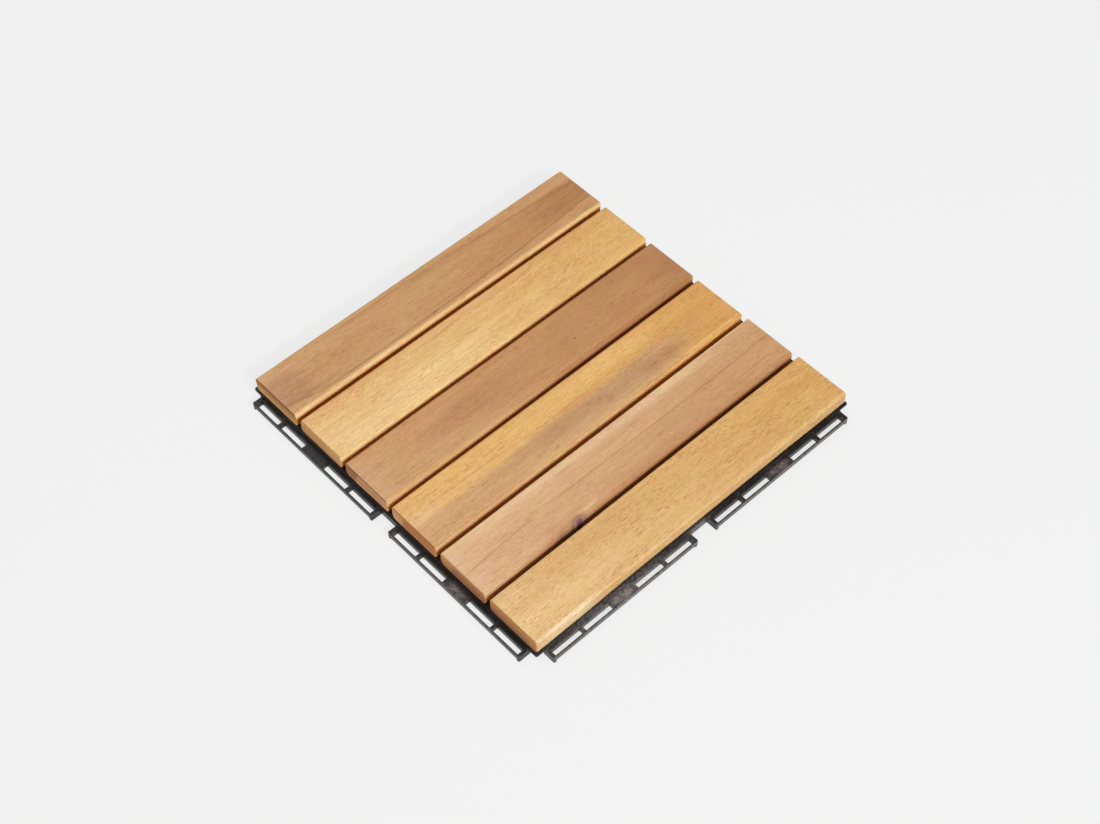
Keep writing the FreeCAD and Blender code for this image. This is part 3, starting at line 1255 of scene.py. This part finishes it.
    def _arc(self, side: np.ndarray, level: np.ndarray, radius: np.ndarray, turn: float) -> np.ndarray:
        """Quarter circle in the corner of each section.

        Args:
            side: y of the corner at each station.
            level: z of the corner at each station.
            radius: radius of the arc at each station.
            turn: angle in degrees at which the arc begins.

        Returns:
            Array of station, point, and y and z.
        """
        radius = np.maximum(radius, self.least_radius)
        angle = np.radians(turn + np.linspace(0.0, 90.0, self.arc))
        y = side - np.sign(side) * radius
        z = level - math.copysign(1.0, math.sin(math.radians(turn + 45.0))) * radius
        circle = [radius[:, None] * np.cos(angle), radius[:, None] * np.sin(angle)]
        return np.stack([y[:, None] + circle[0], z[:, None] + circle[1]], -1)

    def dress(self, groups: SharedGroups) -> None:
        """Builds the piece, gives it its finish and lets it stand for its CAD node.

        Args:
            groups: the shared node groups.
        """
        piece = self.build()
        piece.data.materials.append(self.finish.material(piece.name, self.middle, groups))
        attach(piece, f"slat_{self.number}")


@dataclass(frozen=True)
class MouldedLattice:
    """The one-piece plastic base: a copy of the CAD mesh with softened edges."""

    node: str = "moulded_base"
    bevel: float = 0.18
    segments: int = 2
    sharp: float = 32.0
    weld: float = 0.004
    level: float = 0.5
    finish: PlasticFinish = field(default_factory=PlasticFinish)

    def build(self, source: bpy.types.Object) -> bpy.types.Object:
        """Copies the CAD mesh, joins its split corners, and bevels its sharp edges.

        Args:
            source: the CAD object, which stays as it is.

        Returns:
            The new piece.
        """
        mesh = source.data.copy()
        mesh.name = "moulded_lattice"
        mesh.materials.clear()
        for name in [a.name for a in mesh.attributes if a.name.startswith("custom_normal")]:
            mesh.attributes.remove(mesh.attributes[name])
        work = bmesh.new()
        work.from_mesh(mesh)
        bmesh.ops.remove_doubles(work, verts=work.verts, dist=self.weld * MM)
        angle = math.radians(self.level)
        bmesh.ops.dissolve_limit(work, angle_limit=angle, verts=work.verts, edges=work.edges)
        work.to_mesh(mesh)
        work.free()
        piece = linked("moulded_lattice", mesh)
        soften = piece.modifiers.new("softened edges", "BEVEL")
        soften.width = self.bevel * MM
        soften.segments = self.segments
        soften.limit_method = "ANGLE"
        soften.angle_limit = math.radians(self.sharp)
        soften.harden_normals = True
        soften.use_clamp_overlap = True
        return piece

    def dress(self, frame: dict, groups: SharedGroups) -> None:
        """Builds the base from the loaded frame and gives it its finish.

        Args:
            frame: the loaded frame.
            groups: the shared node groups.
        """
        piece = self.build(frame["nodes"][self.node])
        piece.data.materials.append(self.finish.material("satin_black_plastic", groups))
        attach(piece, self.node)


@dataclass(frozen=True)
class PanHeadScrews:
    """The slat screws, driven from below, with round heads and a cross recess.

    The head's rings lie at these shares of its radius.
    """

    node: str = "slat_screws"
    columns: tuple[float, ...] = (-125.0, -50.0, 50.0, 125.0)
    rows: tuple[float, ...] = (125.0, 75.0, 25.0, -25.0, -75.0, -125.0)
    seat: float = 6.0
    head_radius: float = 3.1
    head_height: float = 1.85
    core_rings: tuple[float, ...] = (0.001, 0.06, 0.12, 0.18, 0.24, 0.3, 0.36, 0.42, 0.48, 0.54, 0.6)
    rim_rings: tuple[float, ...] = (0.7, 0.8, 0.88, 0.94, 0.98, 1.0)
    dome: float = 3.2
    shank_radius: float = 1.5
    tip: float = 17.0
    point: float = 3.0
    around: int = 40
    recess_depth: float = 1.1
    recess_reach: float = 1.75
    recess_width: float = 0.42
    recess_taper: float = 0.25
    recess_rise: float = 0.45
    arm_fade: float = 0.18
    reach_fade: float = 0.25
    point_radius: float = 0.1
    clear: float = 0.02
    finish: SteelFinish = SteelFinish()

    def build(self) -> bpy.types.Object:
        """Makes one screw as a lathe surface and repeats it at every place.

        The head's lower face is z = seat - h (1 - (r/R)^dome), pressed up by the recess
        d c(x, y), where c is 1 within the arms of a cross and falls to 0 at their edges.

        Returns:
            The new piece.
        """
        share = np.array(self.core_rings + self.rim_rings)[:, None]
        angle = np.linspace(0, 2 * math.pi, self.around, endpoint=False)
        radius = share * self.head_radius
        x, y = radius * np.cos(angle), radius * np.sin(angle)
        lower = self.seat - self.head_height * (1 - share**self.dome) - self.clear + 0 * x
        arm = np.minimum(np.abs(x), np.abs(y)) - self.recess_width * (1 - self.recess_taper * radius)
        across = np.clip(0.5 - arm / self.arm_fade, 0, 1)
        within = np.clip((self.recess_reach - radius) / self.reach_fade, 0, 1)
        depth = self.recess_depth * (1 - self.recess_rise * radius / self.recess_reach)
        head = np.stack([x, y, lower + depth * across * within], -1)
        ring = np.stack([np.cos(angle), np.sin(angle), 0 * angle], -1)
        shank = ((self.shank_radius, self.seat), (self.shank_radius, self.tip - self.point))
        shank += ((self.point_radius, self.tip),)
        upper = np.stack([r * ring + np.array([0.0, 0.0, z]) for r, z in shank])
        one = np.concatenate([head, upper])
        faces = tube_faces(len(one), self.around)
        one = one.reshape(-1, 3)
        places = [(px, py, 0.0) for py in self.rows for px in self.columns]
        points = (np.array(places)[:, None] + one).reshape(-1, 3)
        shifts = range(0, len(points), len(one))
        every = [tuple(corner + shift for corner in face) for shift in shifts for face in faces]
        return mesh_object("pan_head_screws", points, every)

    def dress(self, groups: SharedGroups) -> None:
        """Builds the screws and gives them their finish.

        Args:
            groups: the shared node groups.
        """
        piece = self.build()
        piece.data.materials.append(self.finish.material("zinc_plated_steel", groups))
        attach(piece, self.node)


# Timber choice


def honey(seed: float, near: Colour, far: Colour, ends: EndGrain, **more: object) -> TimberFinish:
    """Light golden timber with strong pores.

    Args:
        seed: number that makes the slat's figure its own.
        near: colour at the near end.
        far: colour at the far end.
        ends: colours of the sawn ends.
        **more: other values of the finish.

    Returns:
        The finish.
    """
    shares = {"tint": (0.92, 0.86, 0.785), "pores": 0.62, "fine": 0.58, "broad": 0.58, "near_pale": 0.2}
    return TimberFinish(seed, near, far, ends, **(shares | more))


def russet(seed: float, near: Colour, far: Colour, ends: EndGrain, **more: object) -> TimberFinish:
    """Redder timber with quiet pores, from the same arguments as honey."""
    return TimberFinish(seed, near, far, ends, tint=(0.90, 0.845, 0.80), **more)


def banded_brown() -> TimberFinish:
    """Slat 1: brown timber with dark lines between pale edges.

    Returns:
        The finish.
    """
    smoky = srgb(152, 106, 72)
    streaks = (
        Streak(srgb(188, 137, 94), 0.0, 13.0, 0.8, 7.0, start=100.0, fade=40.0, feather=6.0),
        Streak(srgb(216, 172, 121), 22.8, 5.8, 0.65, 2.6, slope=-2.4, bow=-1.2, wander=2.0, feather=5.0),
        Streak(smoky, 16.4, 0.8, 0.34, 1.2, start=-90.0, slope=-3.2, bow=-1.6, wander=3.0, feather=3.5),
        Streak(srgb(180, 136, 104), -2.0, 15.0, 0.5, 8.0, end=-122.0, fade=16.0, feather=6.0),
        Streak(smoky, -14.5, 3.0, 0.35, 3.0, end=-108.0, fade=20.0, wander=2.0, feather=3.0),
        Streak(srgb(212, 167, 117), -20.8, 4.4, 0.6, 2.2, slope=1.0, bow=1.6, wander=1.5, feather=4.0),
        Streak(smoky, -43.0, 0.6, 0.5, 0.8, end=-124.0, fade=6.0, slope=-21.0, feather=1.5),
        Streak(smoky, -18.2, 0.5, 0.62, 0.7, start=-122.0, fade=8.0, slope=2.3, bow=1.7, wander=1.8,
               feather=2.6),
        Streak(srgb(238, 204, 148), -23.8, 2.1, 0.95, 1.1, slope=-0.2, wander=0.5, feather=1.0),
    )
    return russet(
        1.0,
        srgb(213, 168, 121),
        srgb(204, 157, 106),
        EndGrain(srgb(98, 50, 28), srgb(182, 122, 74), srgb(226, 176, 112), foot=1.6),
        streaks=streaks,
        curls=(Curl(-110.0, 0.0, 34.0, 15.0, 0.28),),
        fine=0.65,
        flecks=0.55,
        # painted shade low on the sides
        deep=(0.80, 0.40, 0.02),
        deep_from=-2.5,
        deep_left=0.0,
    )


def pale_honey() -> TimberFinish:
    """Slat 2: the palest timber, with curled grain.

    Returns:
        The finish.
    """
    streaks = (
        Streak(srgb(227, 179, 120), 20.0, 6.0, 0.7, 4.0, feather=5.0, wander=4.0),
        Streak(srgb(246, 214, 158), -13.0, 11.0, 0.85, 6.0, end=20.0, fade=70.0, feather=6.0),
        Streak(srgb(236, 196, 132), -12.0, 12.0, 0.8, 6.0, start=0.0, end=118.0, fade=40.0, feather=6.0),
        Streak(srgb(240, 190, 144), 22.4, 1.4, 0.6, 1.2, start=-66.0, end=70.0, fade=12.0),
        Streak(srgb(186, 136, 84), 16.2, 0.6, 0.5, 1.2, start=-38.0, end=-8.0, fade=8.0, slope=9.0),
        Streak(srgb(206, 158, 104), -6.0, 0.6, 0.25, 0.8, end=-60.0, fade=20.0, wander=3.0, seed=2.0),
        Streak(srgb(206, 158, 104), 4.0, 0.5, 0.25, 0.8, end=-40.0, fade=20.0, wander=3.0, seed=7.0),
    )
    high, low = srgb(230, 171, 107), srgb(244, 186, 136)
    return honey(
        2.3,
        srgb(241, 204, 145),
        srgb(235, 192, 125),
        EndGrain(srgb(164, 110, 60), high, low, (0.92, 0.89, 0.85), -8.0, 0.68),
        streaks=streaks,
        curls=(Curl(-105.0, 12.0, 26.0, 9.0, 0.6), Curl(92.0, 2.0, 40.0, 17.0, 0.5)),
        mottle=0.6,
    )


def plain_russet() -> TimberFinish:
    """Slat 3: even reddish timber with a pin knot.

    Returns:
        The finish.
    """
    streaks = (
        Streak(srgb(208, 158, 106), 17.0, 6.0, 0.5, 4.0, end=60.0, fade=40.0, feather=5.0),
        Streak(srgb(186, 134, 96), 0.0, 9.0, 0.4, 6.0, start=-90.0, end=-20.0, fade=25.0, feather=6.0),
        Streak(srgb(222, 180, 124), -22.4, 1.7, 0.8, 1.0, end=-40.0, fade=22.0, feather=2.0),
        Streak(srgb(206, 156, 108), -20.0, 4.0, 0.5, 3.0, start=0.0, end=110.0, fade=30.0, feather=4.0),
        Streak(srgb(178, 126, 86), -2.0, 13.0, 0.5, 8.0, start=122.0, fade=18.0, feather=6.0),
        Streak(srgb(170, 116, 74), -23.2, 1.6, 0.5, 1.0, start=8.0, fade=14.0, feather=1.0),
    )
    high, low = srgb(218, 160, 110), srgb(228, 172, 124)
    return russet(
        3.9,
        srgb(208, 163, 116),
        srgb(193, 143, 96),
        EndGrain(srgb(98, 52, 28), high, low, (0.66, 0.57, 0.50), 8.0, 1.8),
        streaks=streaks,
        knots=(Knot(42.5, -6.0, 0.6, srgb(120, 78, 50), srgb(166, 116, 78), srgb(196, 146, 100), 0.1),),
        broad=0.55,
        fine=0.4,
        flecks=0.3,
        # painted shade on the right edge, painted light on the right side
        arris_right=0.88,
        side_right=(1.12, 1.22, 1.33),
    )


def smoky_gold() -> TimberFinish:
    """Slat 4: golden timber with a long smoky band on its right.

    Returns:
        The finish.
    """
    streaks = (
        Streak(srgb(238, 196, 126), 14.0, 8.0, 0.7, 4.0, start=-130.0, end=85.0, fade=30.0, feather=4.0),
        Streak(srgb(232, 194, 152), 0.5, 5.0, 0.6, 4.0, end=-128.0, fade=10.0, feather=4.0),
        Streak(srgb(214, 173, 127), -12.0, 11.5, 0.95, 2.6, end=90.0, fade=30.0, slope=1.4, feather=6.0,
               wander=5.0),
        Streak(srgb(191, 151, 112), -8.5, 7.0, 0.65, 4.5, start=-50.0, end=92.0, fade=36.0, feather=6.0,
               wander=5.0),
        Streak(srgb(188, 142, 98), -12.0, 5.0, 0.6, 3.5, start=58.0, end=92.0, fade=12.0, feather=4.0),
        Streak(srgb(208, 164, 108), -4.0, 3.0, 0.4, 2.5, start=60.0, end=130.0, fade=22.0, feather=3.0),
        Streak(srgb(196, 146, 92), 3.0, 0.5, 0.5, 0.8, start=-126.0, end=-60.0, fade=12.0, wander=1.6,
               slope=-3.0),
        Streak(srgb(196, 146, 92), 2.8, 0.4, 0.4, 0.7, start=-60.0, end=10.0, fade=16.0, wander=1.6,
               seed=4.0),
        Streak(srgb(228, 186, 128), -21.6, 1.2, 0.35, 1.0, feather=2.0, end=40.0, fade=30.0),
        Streak(srgb(250, 206, 140), -21.4, 1.0, 0.8, 0.8, start=92.0, end=142.0, fade=6.0),
    )
    high, low = srgb(202, 130, 70), srgb(212, 148, 96)
    return honey(
        5.1,
        srgb(233, 189, 125),
        srgb(224, 174, 105),
        EndGrain(srgb(140, 90, 48), high, low, (1.22, 1.56, 1.96), 9.0, 1.65),
        streaks=streaks,
        near_pale=0.4,
        # painted shade low on the sides and on the right edge, painted light on the right side
        deep=(1.0, 0.62, 0.12),
        arris_right=0.81,
        side_right=(1.12, 1.24, 1.38),
    )


def knotted_rose() -> TimberFinish:
    """Slat 5: rosy timber with fine dark lines, a knot at its right edge and a painted left edge highlight.

    Returns:
        The finish.
    """
    streaks = (
        Streak(srgb(236, 203, 162), 19.5, 5.0, 0.7, 4.0, end=110.0, fade=60.0, feather=4.0),
        # painted highlight along the left (+v) edge
        Streak(srgb(248, 216, 162), 22.2, 1.8, 0.8, 1.2, feather=2.0, wander=1.0),
        Streak(srgb(204, 156, 112), -20.0, 4.6, 0.7, 3.0, start=-40.0, fade=30.0, feather=4.0),
        Streak(srgb(184, 135, 92), -22.4, 2.5, 0.66, 1.6, start=-100.0, fade=40.0, wander=0.8),
        Streak(srgb(170, 122, 78), 4.9, 0.4, 0.6, 0.6, end=-86.0, fade=8.0, slope=5.25, feather=1.4),
        Streak(srgb(166, 118, 76), 0.75, 0.4, 0.6, 0.6, start=-66.0, fade=10.0, slope=-0.8, bow=0.9),
        Streak(srgb(174, 126, 84), 14.8, 0.4, 0.5, 0.6, start=-50.0, end=-34.0, fade=5.0),
        Streak(srgb(176, 130, 88), 9.5, 0.4, 0.3, 0.7, start=-30.0, end=20.0, wander=2.0, seed=2.0),
        Streak(srgb(172, 124, 80), -13.6, 0.4, 0.55, 0.7, start=96.0, end=134.0, fade=8.0, slope=1.6),
        Streak(srgb(200, 154, 112), -8.0, 8.0, 0.34, 5.0, start=-110.0, end=110.0, fade=30.0, feather=6.0),
        Streak(srgb(164, 118, 92), -22.6, 2.8, 0.8, 1.8, start=-84.0, end=-56.0, fade=8.0),
        Streak(srgb(96, 56, 48), -24.2, 2.0, 0.9, 1.3, start=-82.0, end=-56.0, fade=5.0),
        Streak(srgb(198, 152, 108), -19.0, 5.0, 0.5, 3.0, start=-92.0, end=-40.0, fade=14.0),
        Streak(srgb(228, 196, 154), -13.4, 1.3, 0.7, 1.5, start=-57.0, end=-44.0, fade=5.0, slope=10.0),
    )
    high, low = srgb(194, 134, 86), srgb(182, 120, 84)
    return russet(
        6.7,
        srgb(222, 181, 140),
        srgb(209, 164, 118),
        EndGrain(srgb(188, 140, 94), high, low, (1.22, 1.42, 1.20), 8.0, 1.3),
        streaks=streaks,
        knots=(Knot(-62.3, -22.6, 2.1, srgb(112, 79, 86), srgb(176, 130, 112), srgb(214, 174, 144), 0.2),),
        rings=0.1,
        broad=0.5,
        fine=0.38,
        near_pale=0.6,
        # painted shade low on the sides, painted light on the right side
        deep=(1.0, 0.60, 0.12),
        side_right=(1.0, 1.05, 1.1),
    )


def open_pored_gold() -> TimberFinish:
    """Slat 6: golden timber with the strongest pores and a painted highlight on its near right edge.

    Returns:
        The finish.
    """
    streaks = (
        Streak(srgb(214, 168, 108), 13.0, 7.0, 0.55, 6.0, start=-110.0, end=-30.0, fade=24.0, feather=6.0),
        Streak(srgb(222, 176, 112), 12.0, 7.0, 0.4, 6.0, start=-20.0, feather=6.0, wander=5.0),
        Streak(srgb(242, 208, 154), -10.0, 7.0, 0.6, 5.0, end=-80.0, fade=40.0, feather=5.0),
        # painted highlight along the right edge near the near end, fainter beyond it
        Streak(srgb(252, 230, 190), -22.2, 1.8, 0.95, 1.1, start=-142.0, end=-92.0, fade=14.0, wander=1.2),
        Streak(srgb(236, 200, 146), -22.4, 2.2, 0.6, 1.5, start=-96.0, fade=14.0, wander=1.2),
    )
    return honey(
        8.2,
        srgb(232, 195, 142),
        srgb(221, 178, 112),
        EndGrain(srgb(146, 94, 48), srgb(200, 138, 82), srgb(186, 130, 90), foot=1.05),
        streaks=streaks,
        mottle=0.5,
        pores=0.8,
        fine=0.65,
        flecks=0.5,
        # painted shade on the right edge and side, and low on the sides
        arris_right=0.9,
        side_right=(0.80, 0.80, 0.77),
        deep=(0.85, 0.845, 0.80),
        deep_from=-2.0,
    )


def slats() -> list[Slat]:
    """Chooses the finish, the wear and the chips of each slat.

    Returns:
        The six slats, from the far left one to the near right one.
    """
    small_chip = Chip(End.NEAR, -6.0, 16.0, 0.6, 1.6)
    corner_chip = Chip(End.NEAR, -23.0, 0.0, 0.4, 2.4)
    worn = SlatSize(low_right_radius=2.4, bevel=0.95)
    return [
        Slat(1, banded_brown(), (small_chip,), trim_left=0.15, trim_right=0.0),
        Slat(2, pale_honey(), size=SlatSize(bevel=0.95), trim_left=1.15, trim_far=0.5),
        Slat(3, plain_russet(), (corner_chip,), trim_left=0.8, trim_far=1.1),
        Slat(4, smoky_gold(), size=SlatSize(bevel=0.8), trim_left=0.65, trim_far=1.45),
        Slat(5, knotted_rose(), (), SlatSize(bevel=0.65), trim_left=0.8, trim_right=0.7, trim_far=1.05),
        Slat(6, open_pored_gold(), size=worn, trim_left=0.0, low_swell=1.4),
    ]


# Studio


@dataclass(frozen=True)
class SoftBox:
    """A rectangular soft light, in metres and watts."""

    name: str
    place: tuple[float, float, float]
    aim: tuple[float, float, float]
    width: float
    height: float
    power: float

    def build(self) -> None:
        """Adds the light, turned towards its aim."""
        light = bpy.data.lights.new(self.name, "AREA")
        light.shape = "RECTANGLE"
        light.size = self.width
        light.size_y = self.height
        light.energy = self.power
        lamp = bpy.data.objects.new(self.name, light)
        lamp.location = self.place
        lamp.rotation_euler = (Vector(self.aim) - Vector(self.place)).to_track_quat("-Z", "Y").to_euler()
        bpy.context.scene.collection.objects.link(lamp)


@dataclass(frozen=True)
class Studio:
    """Pale floor, even surrounding light and soft boxes, in metres."""

    pale: float = 0.888
    floor_albedo: float = 0.84
    floor_reach: float = 12.0
    covered: float = 0.1375
    fade: float = 0.004
    evenness: float = 0.85
    sky: float = 0.37
    ceiling: float = 0.20
    horizon: Span = (0.15, 0.55)
    boxes: tuple[SoftBox, ...] = (
        SoftBox("key_box", (-0.4, -1.86, 1.47), (0.0, 0.0, 0.0), 1.0, 0.45, 44.0),
        SoftBox("overhead_box", (-0.3, 0.3, 2.4), (0.0, 0.0, 0.0), 2.0, 1.4, 6.2),
        SoftBox("back_left_box", (0.15, 1.7, 1.9), (-0.1, 0.0, 0.0), 1.4, 1.0, 13.0),
    )

    def build(self) -> None:
        """Adds floor, surrounding light and lights."""
        self._floor()
        self._world()
        for box in self.boxes:
            box.build()

    def _floor(self) -> None:
        """Level floor that looks even to the camera beside the tile and keeps its shadow.

        Seen straight, it is mostly its pale colour where the larger of |x| and |y| is
        over the covered half width. From below it is not there.
        """
        reach = self.floor_reach
        mesh = bpy.data.meshes.new("floor")
        corners = [(x * reach, y * reach, 0.0) for x, y in ((-1, -1), (1, -1), (1, 1), (-1, 1))]
        mesh.from_pydata(corners, [], [(0, 1, 2, 3)])
        floor = bpy.data.objects.new("floor", mesh)
        bpy.context.scene.collection.objects.link(floor)
        material = bpy.data.materials.new("pale_floor")
        g = blank(material)
        matt = g.add("ShaderNodeBsdfDiffuse", {"Color": (self.floor_albedo,) * 3})
        glow = g.add("ShaderNodeEmission", {"Color": (self.pale,) * 3, "Strength": 1.0})
        rays = g.add("ShaderNodeLightPath").outputs
        seen = g.math("MAXIMUM", rays["Is Camera Ray"], rays["Is Glossy Ray"])
        seen = g.math("MAXIMUM", seen, rays["Is Transmission Ray"])
        x, y, _ = g.axes(g.place())
        away = g.math("MAXIMUM", g.math("ABSOLUTE", x), g.math("ABSOLUTE", y))
        open_floor = g.ramp(away, (self.covered, self.covered + self.fade))
        share = g.times(seen, open_floor, self.evenness)
        both = g.add("ShaderNodeMixShader", {0: share, 1: matt.outputs[0], 2: glow.outputs[0]})
        clear = g.add("ShaderNodeBsdfTransparent")
        under = g.add("ShaderNodeNewGeometry").outputs["Backfacing"]
        top = g.add("ShaderNodeMixShader", {0: under, 1: both.outputs[0], 2: clear.outputs[0]})
        g.add("ShaderNodeOutputMaterial", {"Surface": top.outputs[0]})
        mesh.materials.append(material)

    def _world(self) -> None:
        """Even light from all round, pale where the camera looks past the floor.

        Mirror and clear surfaces show the same pale backdrop, up to a low height over
        the horizon, and a dimmer ceiling above it.
        """
        world = bpy.data.worlds.new("studio")
        g = blank(world)
        rays = g.add("ShaderNodeLightPath").outputs
        upward = g.axes(g.add("ShaderNodeTexCoord").outputs["Generated"])[2]
        backdrop = g.ramp(upward, self.horizon, 1.0, 0.0)
        mirrored = g.times(rays["Is Glossy Ray"], backdrop)
        straight = g.math("MAXIMUM", rays["Is Camera Ray"], rays["Is Transmission Ray"])
        seen = g.math("MAXIMUM", straight, mirrored)
        level = g.scaled(seen, self.pale - self.sky, self.sky)
        over = g.minus(rays["Is Glossy Ray"], mirrored)
        level = g.scaled(over, self.ceiling - self.sky, level)
        sky = g.add("ShaderNodeBackground", {"Color": (1.0, 1.0, 1.0), "Strength": level})
        g.add("ShaderNodeOutputWorld", {"Surface": sky.outputs[0]})
        bpy.context.scene.world = world


@dataclass(frozen=True)
class PhotoCamera:
    """Camera fitted to the corners of the slats: angles in degrees, distances in millimetres.

    The clipping range is in metres.
    """

    azimuth: float = -41.83
    elevation: float = 53.415
    roll: float = -1.126
    slide: tuple[float, float] = (-0.26, 4.383)
    distance: float = 1366.29
    drop: float = 4.0
    lens: float = 62.464
    sensor: float = 36.0
    clipping: Span = (0.05, 50.0)

    def build(self) -> None:
        """Adds the camera: its axes are r0, r1, r2 and its place is d r2 - tx r0 - ty r1."""
        a, e, r = (math.radians(v) for v in (self.azimuth, self.elevation, self.roll))
        back = Vector((math.sin(a) * math.cos(e), -math.cos(a) * math.cos(e), math.sin(e)))
        right = Vector((math.cos(a), math.sin(a), 0.0))
        up = back.cross(right)
        across = math.cos(r) * right + math.sin(r) * up
        above = -math.sin(r) * right + math.cos(r) * up
        place = self.distance * back - self.slide[0] * across - self.slide[1] * above
        place.z -= self.drop
        data = bpy.data.cameras.new("photo_camera")
        data.lens = self.lens
        data.sensor_width = self.sensor
        data.clip_start, data.clip_end = self.clipping
        camera = bpy.data.objects.new("photo_camera", data)
        turn = Matrix((across, above, back)).transposed()
        camera.matrix_world = Matrix.Translation(place * MM) @ turn.to_4x4()
        bpy.context.scene.collection.objects.link(camera)
        bpy.context.scene.camera = camera


def main() -> None:
    """Builds every piece in order."""
    logging.basicConfig(level=logging.INFO, format="%(message)s")
    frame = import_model()
    bpy.context.scene.view_settings.view_transform = "Standard"
    groups = SharedGroups()
    MouldedLattice().dress(frame, groups)
    for slat in slats():
        slat.dress(groups)
    PanHeadScrews().dress(groups)
    Studio().build()
    PhotoCamera().build()


if __name__ == "__main__":
    main()
